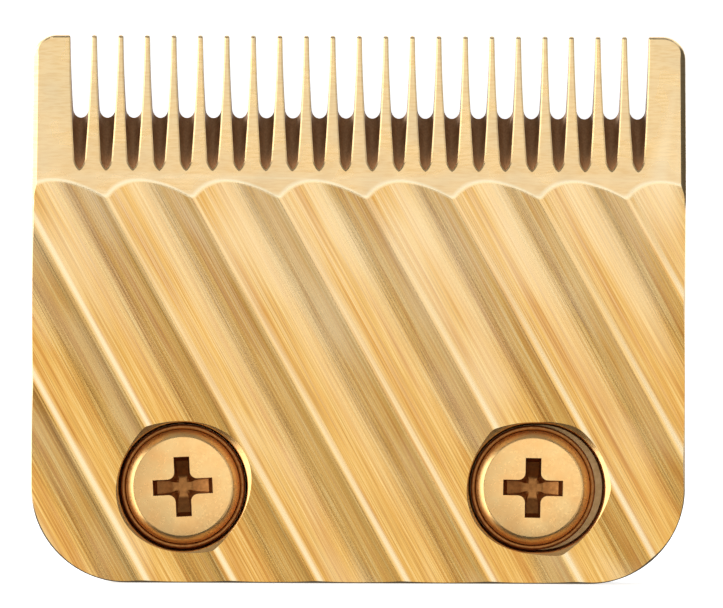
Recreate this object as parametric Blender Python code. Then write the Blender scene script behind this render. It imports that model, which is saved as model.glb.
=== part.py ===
"""Adjustable blade head of a hair clipper.

A fluted stationary blade is screwed to a steel carrier, which slides on a moulded base to set the
length of cut. Behind the stationary blade a toothed cutter runs from side to side, driven through
a yoke and pressed forwards by two leaf springs that bear on a guide rail.

Frame: X runs across the blade, Z towards the tooth tips and Y towards the clipper's body. The
origin is the centre of the base's flat rear seat. Every size below is in millimetres, and mesh
points are turned to metres as each mesh is made.
"""

import math

import bmesh
import bpy
from mathutils import Vector

MM = 0.001

# Stationary blade: outline and thickness
BLADE_WIDTH = 46.0
BLADE_BOTTOM_Z = -3.25
TIP_Z = 35.3
BOTTOM_CORNER_R = 6.8
TOP_CORNER_R = 1.6
BLADE_BACK_Y = -4.35
BLADE_THICKNESS = 3.6
TIP_THICKNESS = 0.75
RAMP_START_Z = 23.9
LAND_Y = BLADE_BACK_Y - BLADE_THICKNESS
RAMP_SLOPE = (BLADE_THICKNESS - TIP_THICKNESS) / (TIP_Z - RAMP_START_Z)
EDGE_CHAMFER = 0.32
GRINDING_STOCK = 0.15  # removed from the front by the flute grinder, so that no two faces coincide

# Flutes across the front, leaning FLUTE_ANGLE from the vertical
FLUTE_ANGLE = math.radians(28.9)
FLUTE_PITCH = 5.335
FLUTE_WIDTH = 4.68
FLUTE_DEPTH = 0.27
FLUTE_PHASE = -1.34  # centre of a flute, measured square to the flutes from the origin
FLUTE_STEPS = 8

# Relief ground across the blade's back, so that the cutter bears only near the teeth and the heel
RELIEF_LOW_Z = 13.6
RELIEF_HIGH_Z = 23.0
RELIEF_DEPTH = 0.4

# Teeth
TOOTH_PITCH = 1.87
TOOTH_COUNT = 21
SLOT_HEIGHTS = (0.0, 0.6, 2.3, 4.8, 7.3, 10.3)  # above the slot's root
# Each slot is pointed at its root and then widens along a shallow curve. Its edges on the face and
# on the back are stated by: root Z, height of the point, half width there, taper and curvature.
SLOT_ON_FACE = (25.8, 0.6, 0.375, 0.0735, 0.0033)
SLOT_ON_BACK = (29.47, 0.7, 0.56, 0.065, 0.005)

# Clamp screws and their counterbores
CLAMP_X = 12.3
CLAMP_Z = 3.5
COUNTERBORE_R = 4.55
COUNTERBORE_FLOOR_Y = BLADE_BACK_Y - 1.25
COUNTERBORE_CONE_Y = -7.5
RIGHT_HOLE_STRETCH = 0.5  # the right-hand hole is oblong, to take up tolerance
CLAMP_HOLE_R = 2.3
SCREW_R = 1.95
SCREW_HEAD_R = 4.15
SCREW_FLAT_R = 3.5
SCREW_HEAD_HEIGHT = 1.6
SCREW_END_Y = -1.4
WASHER_R = 4.4
WASHER_THICKNESS = 0.4
RECESS_HALF = 2.05
RECESS_ARM_HALF = 0.47
RECESS_DEPTH = 1.15

# Carrier: the slide that the stationary blade is clamped to
TAPER_TRAVEL = 2.0
CARRIER_FRONT_Y = -4.3
CARRIER_REAR_Y = -2.1
CARRIER_HALF = 21.4
CARRIER_BOTTOM_Z = -2.9
CARRIER_TOP_Z = 9.9
WINDOW_HALF = 5.8
CARRIER_WINDOW_Z = 1.1
NUT_R = 2.8

# Base: fixed to the clipper's body
BASE_FRONT_Y = -2.0
SEAT_Y = 0.0
BASE_HALF = 21.0
BASE_BOTTOM_Z = -2.9
BASE_TOP_Z = 10.7
BASE_WINDOW_Z = 2.6
SHELF_Z = 5.2
SHELF_Y = -1.0
INSERT_X = 16.2
INSERT_Z = -0.4
INSERT_R = 1.9

# Guide pins that hold the carrier on the base
GUIDE_X = 18.6
GUIDE_Z = 3.2
GUIDE_R = 1.25
GUIDE_HEAD_R = 2.2
GUIDE_HEAD_DEPTH = 0.7

# Pin that the clipper's taper lever pushes
TAPER_PIN_X = 7.6
TAPER_PIN_Z = -0.9
TAPER_PIN_R = 1.1
TAPER_PIN_END_Y = 2.4

# Cutter
CUTTER_HALF = 19.7
CUTTER_BOTTOM_Z = 12.5
CUTTER_TIP_Z = 34.4
CUTTER_GULLET_Z = 29.2
CUTTER_FRONT_Y = -4.3
CUTTER_REAR_Y = -2.8
CUTTER_TIP_THICKNESS = 0.6
CUTTER_BEVEL_Z = 25.0
CUTTER_TOOTH_ROOT_HALF = 0.33
CUTTER_TOOTH_TIP_HALF = 0.14
CUTTER_TOOTH_COUNT = 11
GROOVE_Z = 19.8
GROOVE_HALF = 1.2
GROOVE_DEPTH = 0.6

# Guide rail and springs
RAIL_HALF_LENGTH = 14.0
RAIL_HALF_HEIGHT = 1.1
RAIL_FRONT_Y = -3.35
RAIL_REAR_Y = -2.15
PIP_R = 0.6
SPRING_FOOT_X = 11.5
SPRING_BASE_X = 17.4
SPRING_THICKNESS = 0.5
SPRING_BASE_Z = 5.6
SPRING_TIP_Z = 21.9
SPRING_SCREW_Z = 7.6

# Yoke
YOKE_HALF = 4.0
YOKE_BOTTOM_Z = 3.4
YOKE_TOP_Z = 14.2
YOKE_FRONT_Y = -2.75
YOKE_REAR_Y = 3.2
DRIVE_SLOT_HALF = 2.5
DRIVE_SLOT_LOW_Z = 4.7
DRIVE_SLOT_HIGH_Z = 12.5
FLANGE_HALF = 8.2
FLANGE_LOW_Z = 12.9
FLANGE_HIGH_Z = 16.9
FLANGE_REAR_Y = -1.55
RIVET_X = 5.9
RIVET_Z = 14.9
RIVET_R = 0.9

FIT = 0.05  # between faces that rest on each other
RUN = 0.1  # between a shaft and its hole
ROUND_STEPS = 32
SMALL_ROUND_STEPS = 20


def material(name, colour, roughness, metallic):
    made = bpy.data.materials.new(name)
    made.use_nodes = True
    shader = made.node_tree.nodes["Principled BSDF"]
    shader.inputs["Base Color"].default_value = (*colour, 1.0)
    shader.inputs["Roughness"].default_value = roughness
    shader.inputs["Metallic"].default_value = metallic
    return made


def mesh_object(name, bm, finish=None):
    """A bmesh in millimetres, made into an object in metres with its faces pointing out."""
    bmesh.ops.recalc_face_normals(bm, faces=bm.faces)
    bmesh.ops.scale(bm, vec=(MM, MM, MM), verts=bm.verts)
    mesh = bpy.data.meshes.new(name)
    bm.to_mesh(mesh)
    bm.free()
    obj = bpy.data.objects.new(name, mesh)
    bpy.context.scene.collection.objects.link(obj)
    if finish:
        mesh.materials.append(finish)
    return obj


def combine(obj, other, operation):
    """Cuts, joins or meets obj with a helper, which the render leaves out."""
    other.hide_render = True
    other.display_type = "WIRE"
    step = obj.modifiers.new(other.name, "BOOLEAN")
    step.operation = operation
    step.object = other
    step.solver = "EXACT"
    return obj


def add_stack(bm, rings, closed=False):
    """Skins a row of rings. It caps the two ends, or joins them when the row is closed."""
    made = [[bm.verts.new(point) for point in ring] for ring in rings]
    count = len(rings[0])
    pairs = list(zip(made, made[1:]))
    if closed:
        pairs.append((made[-1], made[0]))
    for low, high in pairs:
        for i in range(count):
            j = (i + 1) % count
            bm.faces.new((low[i], low[j], high[j], high[i]))
    if not closed:
        bm.faces.new(made[0])
        bm.faces.new(made[-1])
    return bm


def flat_ring(outline, y):
    return [Vector((x, y, z)) for x, z in outline]


def prism(outline, y_front, y_rear):
    return add_stack(bmesh.new(), [flat_ring(outline, y_front), flat_ring(outline, y_rear)])


def stadium(x, z, radius, stretch_x=0.0, stretch_z=0.0, steps=ROUND_STEPS):
    """A circle pulled out along X or Z by the stretch."""
    points = []
    for i in range(steps):
        angle = 2 * math.pi * (i + 0.5) / steps
        c, s = math.cos(angle), math.sin(angle)
        points.append(
            (
                x + radius * c + math.copysign(stretch_x / 2, c),
                z + radius * s + math.copysign(stretch_z / 2, s),
            )
        )
    return points


def turned(x, z, profile, steps=ROUND_STEPS, closed=False, **stretch):
    """Turns a profile of (radius, y) about the line along Y through (x, z)."""
    rings = [flat_ring(stadium(x, z, r, steps=steps, **stretch), y) for r, y in profile]
    return add_stack(bmesh.new(), rings, closed)


def arc(cx, cz, radius, start, end, steps):
    """Points on an arc, its angles in degrees."""
    points = []
    for i in range(steps + 1):
        angle = math.radians(start + (end - start) * i / steps)
        points.append((cx + radius * math.cos(angle), cz + radius * math.sin(angle)))
    return points


def rounded_box(x0, x1, z0, z1, radius, steps=4):
    return (
        arc(x1 - radius, z0 + radius, radius, -90, 0, steps)
        + arc(x1 - radius, z1 - radius, radius, 0, 90, steps)
        + arc(x0 + radius, z1 - radius, radius, 90, 180, steps)
        + arc(x0 + radius, z0 + radius, radius, 180, 270, steps)
    )


def mirrored_pair(right_half):
    """An outline closed by its own mirror image in X = 0."""
    return right_half + [(-x, z) for x, z in reversed(right_half)]


def ramp_y(z):
    return LAND_Y + (z - RAMP_START_Z) * RAMP_SLOPE


def blade_front_y(z):
    """The front face before fluting: flat up to the ramp, then falling away to the tips."""
    return max(LAND_Y - GRINDING_STOCK, ramp_y(z))


def blade_outline(inset):
    """Half of the stationary blade's outline, moved in by inset, from bottom centre to top centre."""
    half = BLADE_WIDTH / 2
    low_z = BLADE_BOTTOM_Z + BOTTOM_CORNER_R
    bottom = arc(half - BOTTOM_CORNER_R, low_z, BOTTOM_CORNER_R - inset, -90, 0, 10)
    top = arc(half - TOP_CORNER_R, TIP_Z - TOP_CORNER_R, TOP_CORNER_R - inset, 0, 90, 5)
    fold_z = RAMP_START_Z - GRINDING_STOCK / RAMP_SLOPE
    return bottom + [(half - inset, fold_z)] + top


def blade_blank():
    """The blank: a plate with a ramped front and a chamfer all round its front edge."""
    chamfer = EDGE_CHAMFER + GRINDING_STOCK
    outer = mirrored_pair(blade_outline(0.0))
    inner = mirrored_pair(blade_outline(chamfer))
    bm = bmesh.new()
    rear = [bm.verts.new((x, BLADE_BACK_Y, z)) for x, z in outer]
    wall = [bm.verts.new((x, blade_front_y(z) + chamfer, z)) for x, z in outer]
    front = [bm.verts.new((x, blade_front_y(z), z)) for x, z in inner]
    count = len(outer)
    for low, high in ((rear, wall), (wall, front)):
        for i in range(count):
            j = (i + 1) % count
            bm.faces.new((low[i], low[j], high[j], high[i]))
    bm.faces.new(rear)
    fold = len(blade_outline(0.0)) - 7  # the point where the right-hand edge meets the ramp
    mirror_fold = count - 1 - fold
    bm.faces.new(front[fold : mirror_fold + 1])
    bm.faces.new(front[: fold + 1] + front[mirror_fold:])
    return bm


def flute_cutter():
    """The grinder's path: a slab whose underside has one arc for each flute and a flat for each land."""
    half = FLUTE_WIDTH / 2
    radius = (half**2 + FLUTE_DEPTH**2) / (2 * FLUTE_DEPTH)
    reach = 60.0
    profile = []
    for k in range(-6, 9):
        centre = FLUTE_PHASE + k * FLUTE_PITCH
        for i in range(FLUTE_STEPS + 1):
            across = half * (2 * i / FLUTE_STEPS - 1)
            depth = math.sqrt(radius**2 - across**2) - (radius - FLUTE_DEPTH)
            profile.append((centre + across, LAND_Y + depth))
    profile.append((profile[-1][0], LAND_Y - 3.0))
    profile.append((profile[0][0], LAND_Y - 3.0))
    c, s = math.cos(FLUTE_ANGLE), math.sin(FLUTE_ANGLE)
    rings = []
    for along in (-reach, reach):
        rings.append([Vector((c * u - s * along, y, s * u + c * along)) for u, y in profile])
    return add_stack(bmesh.new(), rings)


def slot_edge(height, shape):
    """Half the slot's width and its Z, at a height above its root."""
    root_z, rise, shoulder, taper, curvature = shape
    if height <= rise:
        return shoulder * height / rise, root_z + height
    beyond = height - rise
    return shoulder + taper * beyond - curvature * beyond**2, root_z + height


def slot_cutter():
    """The saw's path for all the tooth slots. Each slot's floor slopes from the face to the back."""
    face_y = ramp_y(SLOT_ON_FACE[0])
    squeeze = (TIP_Z - SLOT_ON_BACK[0]) / (TIP_Z - SLOT_ON_FACE[0])
    bm = bmesh.new()
    for k in range(TOOTH_COUNT + 1):
        centre = (k - TOOTH_COUNT / 2) * TOOTH_PITCH
        on_face = [slot_edge(h, SLOT_ON_FACE) for h in SLOT_HEIGHTS]
        on_back = [slot_edge(h * squeeze, SLOT_ON_BACK) for h in SLOT_HEIGHTS]
        front, rear = [], []
        for (half_f, z_f), (half_b, z_b) in zip(on_face, on_back):
            face = Vector((half_f, max(ramp_y(z_f), face_y), z_f))
            back = Vector((half_b, BLADE_BACK_Y, z_b))
            front.append(face.lerp(back, -0.4))
            rear.append(face.lerp(back, 1.3))
        rings = []
        for points in (front, rear):
            ring = [Vector((centre + p.x, p.y, p.z)) for p in points]
            ring += [Vector((centre - p.x, p.y, p.z)) for p in reversed(points[1:])]
            rings.append(ring)
        add_stack(bm, rings)
    return bm


def counterbore_cutter(side):
    stretch = RIGHT_HOLE_STRETCH if side > 0 else 0.0
    front_y = LAND_Y - 1.0
    cone = COUNTERBORE_CONE_Y - front_y
    profile = [
        (COUNTERBORE_R + cone, front_y),
        (COUNTERBORE_R, COUNTERBORE_CONE_Y),
        (COUNTERBORE_R, COUNTERBORE_FLOOR_Y),
        (CLAMP_HOLE_R, COUNTERBORE_FLOOR_Y),
        (CLAMP_HOLE_R, BLADE_BACK_Y + 1.0),
    ]
    return turned(side * CLAMP_X + stretch / 2, CLAMP_Z, profile, stretch_x=stretch)


def make_fixed_blade(gold):
    blade = mesh_object("fixed_blade", blade_blank(), gold)
    combine(blade, mesh_object("cut_flutes", flute_cutter()), "DIFFERENCE")
    combine(blade, mesh_object("cut_slots", slot_cutter()), "DIFFERENCE")
    for side, word in ((-1, "left"), (1, "right")):
        combine(blade, mesh_object(f"cut_counterbore_{word}", counterbore_cutter(side)), "DIFFERENCE")
    relief = rounded_box(-BLADE_WIDTH, BLADE_WIDTH, RELIEF_LOW_Z, RELIEF_HIGH_Z, 1.0)
    relief_tool = prism(relief, BLADE_BACK_Y - RELIEF_DEPTH, BLADE_BACK_Y + 1.0)
    combine(blade, mesh_object("cut_relief", relief_tool), "DIFFERENCE")
    return blade


def cross_outline(x, z, scale, turn):
    """Outline of a cross recess, with its inner corners eased."""
    arm, reach = RECESS_ARM_HALF * scale, RECESS_HALF * scale
    ease = arm + 0.4 * scale
    corner = arm + 0.12 * scale
    quarter = [(reach, -arm), (reach, arm), (ease, arm), (corner, corner), (arm, ease)]
    points = []
    for k in range(4):
        angle = math.pi / 2 * k + turn
        c, s = math.cos(angle), math.sin(angle)
        points += [(x + c * a - s * b, z + s * a + c * b) for a, b in quarter]
    return points


def make_clamp_screw(word, side, turn, steel):
    x = side * CLAMP_X
    seat_y = COUNTERBORE_FLOOR_Y - 2 * FIT - WASHER_THICKNESS
    top_y = seat_y - SCREW_HEAD_HEIGHT
    edge_y = top_y + 0.5
    profile = [
        (SCREW_FLAT_R, top_y),
        (SCREW_HEAD_R, edge_y),
        (SCREW_HEAD_R, seat_y),
        (SCREW_R, seat_y),
        (SCREW_R, SCREW_END_Y - 0.4),
        (SCREW_R - 0.4, SCREW_END_Y),
    ]
    screw = mesh_object(f"clamp_screw_{word}", turned(x, CLAMP_Z, profile), steel)
    rings = [
        flat_ring(cross_outline(x, CLAMP_Z, scale, turn), y)
        for scale, y in ((1.06, top_y - 0.3), (0.8, top_y + RECESS_DEPTH), (0.1, top_y + RECESS_DEPTH + 0.35))
    ]
    cutter = mesh_object(f"cut_recess_{word}", add_stack(bmesh.new(), rings))
    return combine(screw, cutter, "DIFFERENCE")


def make_ring(name, x, z, radii, y_front, thickness, finish):
    """A plain ring, as a washer, a nut or a threaded insert."""
    inner, outer = radii
    y_rear = y_front + thickness
    profile = [(outer, y_front), (outer, y_rear), (inner, y_rear), (inner, y_front)]
    return mesh_object(name, turned(x, z, profile, closed=True), finish)


def plate_outline(half, bottom, top, corner):
    right = arc(half - corner, bottom + corner, corner, -90, 0, 6) + arc(half - 1.0, top - 1.0, 1.0, 0, 90, 3)
    return mirrored_pair(right)


def window_outline(bottom_z, top_z):
    corner = 1.2
    right = arc(WINDOW_HALF - corner, bottom_z + corner, corner, -90, 0, 4) + [(WINDOW_HALF, top_z + 2.0)]
    return mirrored_pair(right)


def make_carrier(steel):
    outline = plate_outline(CARRIER_HALF, CARRIER_BOTTOM_Z, CARRIER_TOP_Z, 6.2)
    carrier = mesh_object("carrier_plate", prism(outline, CARRIER_FRONT_Y, CARRIER_REAR_Y), steel)
    front, rear = CARRIER_FRONT_Y - 1.0, CARRIER_REAR_Y + 1.0
    cuts = {"window": prism(window_outline(CARRIER_WINDOW_Z, CARRIER_TOP_Z), front, rear)}
    slot_z = GUIDE_Z - TAPER_TRAVEL / 2
    recess_y = CARRIER_FRONT_Y + GUIDE_HEAD_DEPTH + 3 * FIT
    for side, word in ((-1, "left"), (1, "right")):
        x = side * GUIDE_X
        guide = [
            (GUIDE_HEAD_R + RUN, front),
            (GUIDE_HEAD_R + RUN, recess_y),
            (GUIDE_R + RUN, recess_y),
            (GUIDE_R + RUN, rear),
        ]
        nut = [(NUT_R + RUN, front), (NUT_R + RUN, rear)]
        cuts[f"guide_{word}"] = turned(x, slot_z, guide, SMALL_ROUND_STEPS, stretch_z=TAPER_TRAVEL + 2 * RUN)
        cuts[f"nut_{word}"] = turned(side * CLAMP_X, CLAMP_Z, nut)
    pin = [
        (TAPER_PIN_R + 0.6 + RUN, front),
        (TAPER_PIN_R + 0.6 + RUN, CARRIER_FRONT_Y + 0.7),
        (TAPER_PIN_R + RUN, CARRIER_FRONT_Y + 0.7),
        (TAPER_PIN_R + RUN, rear),
    ]
    cuts["taper_pin"] = turned(TAPER_PIN_X, TAPER_PIN_Z, pin, SMALL_ROUND_STEPS)
    for word, cutter in cuts.items():
        combine(carrier, mesh_object(f"cut_carrier_{word}", cutter), "DIFFERENCE")
    return carrier


def make_base(nylon):
    outline = plate_outline(BASE_HALF, BASE_BOTTOM_Z, BASE_TOP_Z, 6.0)
    base = mesh_object("head_base", prism(outline, BASE_FRONT_Y, SEAT_Y), nylon)
    front, rear = BASE_FRONT_Y - 1.0, SEAT_Y + 1.0
    cuts = {"window": prism(window_outline(BASE_WINDOW_Z, BASE_TOP_Z), front, rear)}
    for side, word in ((-1, "left"), (1, "right")):
        clamp_z = CLAMP_Z + TAPER_TRAVEL / 2
        through = [(2.4, front), (2.4, rear)]
        pin = [(GUIDE_R + RUN, front), (GUIDE_R + RUN, rear)]
        insert = [(INSERT_R + RUN, front), (INSERT_R + RUN, rear)]
        spring_screw = [(1.1, front), (1.1, rear)]
        shelf = rounded_box(14.4, BASE_HALF + 2.0, SHELF_Z, BASE_TOP_Z + 2.0, 0.8)
        shelf = [(side * x, z) for x, z in shelf]
        cuts[f"clamp_{word}"] = turned(side * CLAMP_X, clamp_z, through, stretch_z=TAPER_TRAVEL)
        cuts[f"guide_{word}"] = turned(side * GUIDE_X, GUIDE_Z, pin, SMALL_ROUND_STEPS)
        cuts[f"insert_{word}"] = turned(side * INSERT_X, INSERT_Z, insert, SMALL_ROUND_STEPS)
        cuts[f"shelf_{word}"] = prism(shelf, SHELF_Y, rear)
        x = side * SPRING_BASE_X
        cuts[f"spring_screw_{word}"] = turned(x, SPRING_SCREW_Z, spring_screw, SMALL_ROUND_STEPS)
    lever = [(TAPER_PIN_R + 0.3, front), (TAPER_PIN_R + 0.3, rear)]
    lever_z = TAPER_PIN_Z + TAPER_TRAVEL / 2
    cuts["taper_pin"] = turned(TAPER_PIN_X, lever_z, lever, SMALL_ROUND_STEPS, stretch_z=TAPER_TRAVEL)
    for word, cutter in cuts.items():
        combine(base, mesh_object(f"cut_base_{word}", cutter), "DIFFERENCE")
    return base


def make_guide_pin(word, side, steel):
    head_y = CARRIER_FRONT_Y + FIT
    shoulder_y = head_y + GUIDE_HEAD_DEPTH
    profile = [
        (GUIDE_HEAD_R, head_y),
        (GUIDE_HEAD_R, shoulder_y),
        (GUIDE_R, shoulder_y),
        (GUIDE_R, SEAT_Y - FIT),
    ]
    pin = turned(side * GUIDE_X, GUIDE_Z, profile, SMALL_ROUND_STEPS)
    return mesh_object(f"guide_pin_{word}", pin, steel)


def make_taper_pin(steel):
    head_y = CARRIER_FRONT_Y + FIT
    profile = [
        (TAPER_PIN_R + 0.6, head_y),
        (TAPER_PIN_R + 0.6, head_y + 0.6),
        (TAPER_PIN_R, head_y + 0.6),
        (TAPER_PIN_R, TAPER_PIN_END_Y - 0.3),
        (TAPER_PIN_R - 0.3, TAPER_PIN_END_Y),
    ]
    return mesh_object("taper_pin", turned(TAPER_PIN_X, TAPER_PIN_Z, profile, SMALL_ROUND_STEPS), steel)


def cutter_outline():
    """The cutter's outline: a plate with long tapered teeth, one behind every other fixed tooth."""
    teeth = []
    pitch = 2 * TOOTH_PITCH
    for k in range(CUTTER_TOOTH_COUNT):
        centre = ((CUTTER_TOOTH_COUNT - 1) / 2 - k) * pitch
        teeth += [
            (centre + CUTTER_TOOTH_ROOT_HALF, CUTTER_GULLET_Z),
            (centre + CUTTER_TOOTH_TIP_HALF, CUTTER_TIP_Z),
            (centre - CUTTER_TOOTH_TIP_HALF, CUTTER_TIP_Z),
            (centre - CUTTER_TOOTH_ROOT_HALF, CUTTER_GULLET_Z),
        ]
    corner = 2.5
    right = arc(CUTTER_HALF - corner, CUTTER_BOTTOM_Z + corner, corner, -90, 0, 5)
    right += [(CUTTER_HALF, CUTTER_GULLET_Z - 0.6), (CUTTER_HALF - 0.4, CUTTER_GULLET_Z)]
    left = [(-x, z) for x, z in reversed(right)]
    return right + teeth + left


def make_cutter(steel):
    cutter = mesh_object("moving_blade", prism(cutter_outline(), CUTTER_FRONT_Y, CUTTER_REAR_Y), steel)
    high = CUTTER_TIP_Z + 2.0
    slope = (CUTTER_REAR_Y - CUTTER_FRONT_Y - CUTTER_TIP_THICKNESS) / (CUTTER_TIP_Z - CUTTER_BEVEL_Z)
    bevel = [
        (CUTTER_REAR_Y, CUTTER_BEVEL_Z),
        (CUTTER_REAR_Y - slope * (high - CUTTER_BEVEL_Z), high),
        (CUTTER_REAR_Y + 2.0, high),
        (CUTTER_REAR_Y + 2.0, CUTTER_BEVEL_Z),
    ]
    rings = [[Vector((x, y, z)) for y, z in bevel] for x in (-30.0, 30.0)]
    combine(cutter, mesh_object("cut_bevel", add_stack(bmesh.new(), rings)), "DIFFERENCE")
    groove = rounded_box(-30.0, 30.0, GROOVE_Z - GROOVE_HALF, GROOVE_Z + GROOVE_HALF, 0.2, 1)
    groove_y = CUTTER_REAR_Y - GROOVE_DEPTH
    combine(cutter, mesh_object("cut_groove", prism(groove, groove_y, CUTTER_REAR_Y + 1.0)), "DIFFERENCE")
    for side, word in ((-1, "left"), (1, "right")):
        hole = [
            (RIVET_R + 0.7, CUTTER_FRONT_Y - 1.0),
            (RIVET_R + 0.7, CUTTER_FRONT_Y + 0.2),
            (RIVET_R + RUN, CUTTER_FRONT_Y + 0.7),
            (RIVET_R + RUN, CUTTER_REAR_Y + 1.0),
        ]
        cut = turned(side * RIVET_X, RIVET_Z, hole, SMALL_ROUND_STEPS)
        combine(cutter, mesh_object(f"cut_rivet_{word}", cut), "DIFFERENCE")
    return cutter


def make_yoke(acetal):
    body = rounded_box(-YOKE_HALF, YOKE_HALF, YOKE_BOTTOM_Z, YOKE_TOP_Z, 1.0)
    flange = rounded_box(-FLANGE_HALF, FLANGE_HALF, FLANGE_LOW_Z, FLANGE_HIGH_Z, 1.5)
    yoke = mesh_object("drive_yoke", prism(flange, YOKE_FRONT_Y, FLANGE_REAR_Y), acetal)
    combine(yoke, mesh_object("join_yoke_body", prism(body, YOKE_FRONT_Y + 0.2, YOKE_REAR_Y)), "UNION")
    slot_z = (DRIVE_SLOT_LOW_Z + DRIVE_SLOT_HIGH_Z) / 2
    stretch = DRIVE_SLOT_HIGH_Z - DRIVE_SLOT_LOW_Z - 2 * DRIVE_SLOT_HALF
    profile = [
        (DRIVE_SLOT_HALF, YOKE_FRONT_Y - 1.0),
        (DRIVE_SLOT_HALF, YOKE_REAR_Y - 0.5),
        (DRIVE_SLOT_HALF + 0.8, YOKE_REAR_Y + 0.3),
    ]
    slot = turned(0.0, slot_z, profile, stretch_z=stretch)
    combine(yoke, mesh_object("cut_drive_slot", slot), "DIFFERENCE")
    for side, word in ((-1, "left"), (1, "right")):
        hole = [(RIVET_R + RUN, YOKE_FRONT_Y - 1.0), (RIVET_R + RUN, FLANGE_REAR_Y + 1.0)]
        cut = turned(side * RIVET_X, RIVET_Z, hole, SMALL_ROUND_STEPS)
        combine(yoke, mesh_object(f"cut_yoke_rivet_{word}", cut), "DIFFERENCE")
    return yoke


def make_rivet(word, side, steel):
    head_y = FLANGE_REAR_Y + FIT
    profile = [
        (RIVET_R + 0.5, CUTTER_FRONT_Y + FIT),
        (RIVET_R, CUTTER_FRONT_Y + 0.6),
        (RIVET_R, head_y),
        (RIVET_R + 0.8, head_y),
        (RIVET_R + 0.6, head_y + 0.4),
        (RIVET_R - 0.1, head_y + 0.65),
    ]
    rivet = turned(side * RIVET_X, RIVET_Z, profile, SMALL_ROUND_STEPS)
    return mesh_object(f"yoke_rivet_{word}", rivet, steel)


def make_rail(acetal):
    low, high = GROOVE_Z - RAIL_HALF_HEIGHT, GROOVE_Z + RAIL_HALF_HEIGHT
    bar = rounded_box(-RAIL_HALF_LENGTH, RAIL_HALF_LENGTH, low, high, 0.5, 2)
    rail = mesh_object("guide_rail", prism(bar, RAIL_FRONT_Y, RAIL_REAR_Y), acetal)
    for side, word in ((-1, "left"), (1, "right")):
        profile = [(PIP_R, RAIL_REAR_Y - 0.5), (PIP_R - 0.1, RAIL_REAR_Y + 0.9)]
        pip = turned(side * SPRING_FOOT_X, GROOVE_Z, profile, 16)
        combine(rail, mesh_object(f"join_pip_{word}", pip), "UNION")
    return rail


def smooth(t):
    t = min(1.0, max(0.0, t))
    return t * t * (3 - 2 * t)


def spring_section(z, side):
    """One cross-section of the leaf: broad at its screwed base, then drawn in and forwards to its foot."""
    base_y = SHELF_Y + FIT + SPRING_THICKNESS / 2
    foot_y = RAIL_REAR_Y + FIT + SPRING_THICKNESS / 2
    inward = smooth((z - 9.4) / (17.2 - 9.4))
    x = side * (SPRING_BASE_X + (SPRING_FOOT_X - SPRING_BASE_X) * inward)
    half = 2.5 + (1.5 - 2.5) * smooth((z - 9.0) / 4.0)
    y = base_y + (foot_y - base_y) * smooth((z - 9.8) / (GROOVE_Z - 9.8))
    curl = max(0.0, z - GROOVE_Z - 0.7)
    y += 0.35 * curl**2
    thin = SPRING_THICKNESS / 2
    return [Vector((x + a * half, y + b * thin, z)) for a, b in ((-1, -1), (1, -1), (1, 1), (-1, 1))]


def make_spring(word, side, steel):
    stations = [SPRING_BASE_Z, 7.6, 9.0]
    step = 0.85
    while stations[-1] + step < SPRING_TIP_Z:
        stations.append(stations[-1] + step)
    stations.append(SPRING_TIP_Z)
    leaf = add_stack(bmesh.new(), [spring_section(z, side) for z in stations])
    spring = mesh_object(f"tension_spring_{word}", leaf, steel)
    holes = (
        ("screw", SPRING_BASE_X, SPRING_SCREW_Z, 1.15),
        ("foot", SPRING_FOOT_X, GROOVE_Z, PIP_R + RUN),
    )
    for hole, x, z, radius in holes:
        cut = turned(side * x, z, [(radius, -5.0), (radius, 2.0)], 16)
        combine(spring, mesh_object(f"cut_spring_{hole}_{word}", cut), "DIFFERENCE")
    return spring


def make_spring_screw(word, side, steel):
    x = side * SPRING_BASE_X
    seat_y = SHELF_Y + 2 * FIT + SPRING_THICKNESS
    top_y = seat_y + 0.75
    profile = [
        (0.7, BASE_FRONT_Y + FIT),
        (1.0, BASE_FRONT_Y + 0.35),
        (1.0, seat_y),
        (1.9, seat_y),
        (1.9, top_y - 0.3),
        (1.5, top_y),
    ]
    screw = mesh_object(f"spring_screw_{word}", turned(x, SPRING_SCREW_Z, profile, SMALL_ROUND_STEPS), steel)
    rings = [
        flat_ring(cross_outline(x, SPRING_SCREW_Z, scale, 0.4), y)
        for scale, y in ((0.5, top_y + 0.2), (0.32, top_y - 0.55))
    ]
    cutter = mesh_object(f"cut_spring_recess_{word}", add_stack(bmesh.new(), rings))
    return combine(screw, cutter, "DIFFERENCE")


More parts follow.
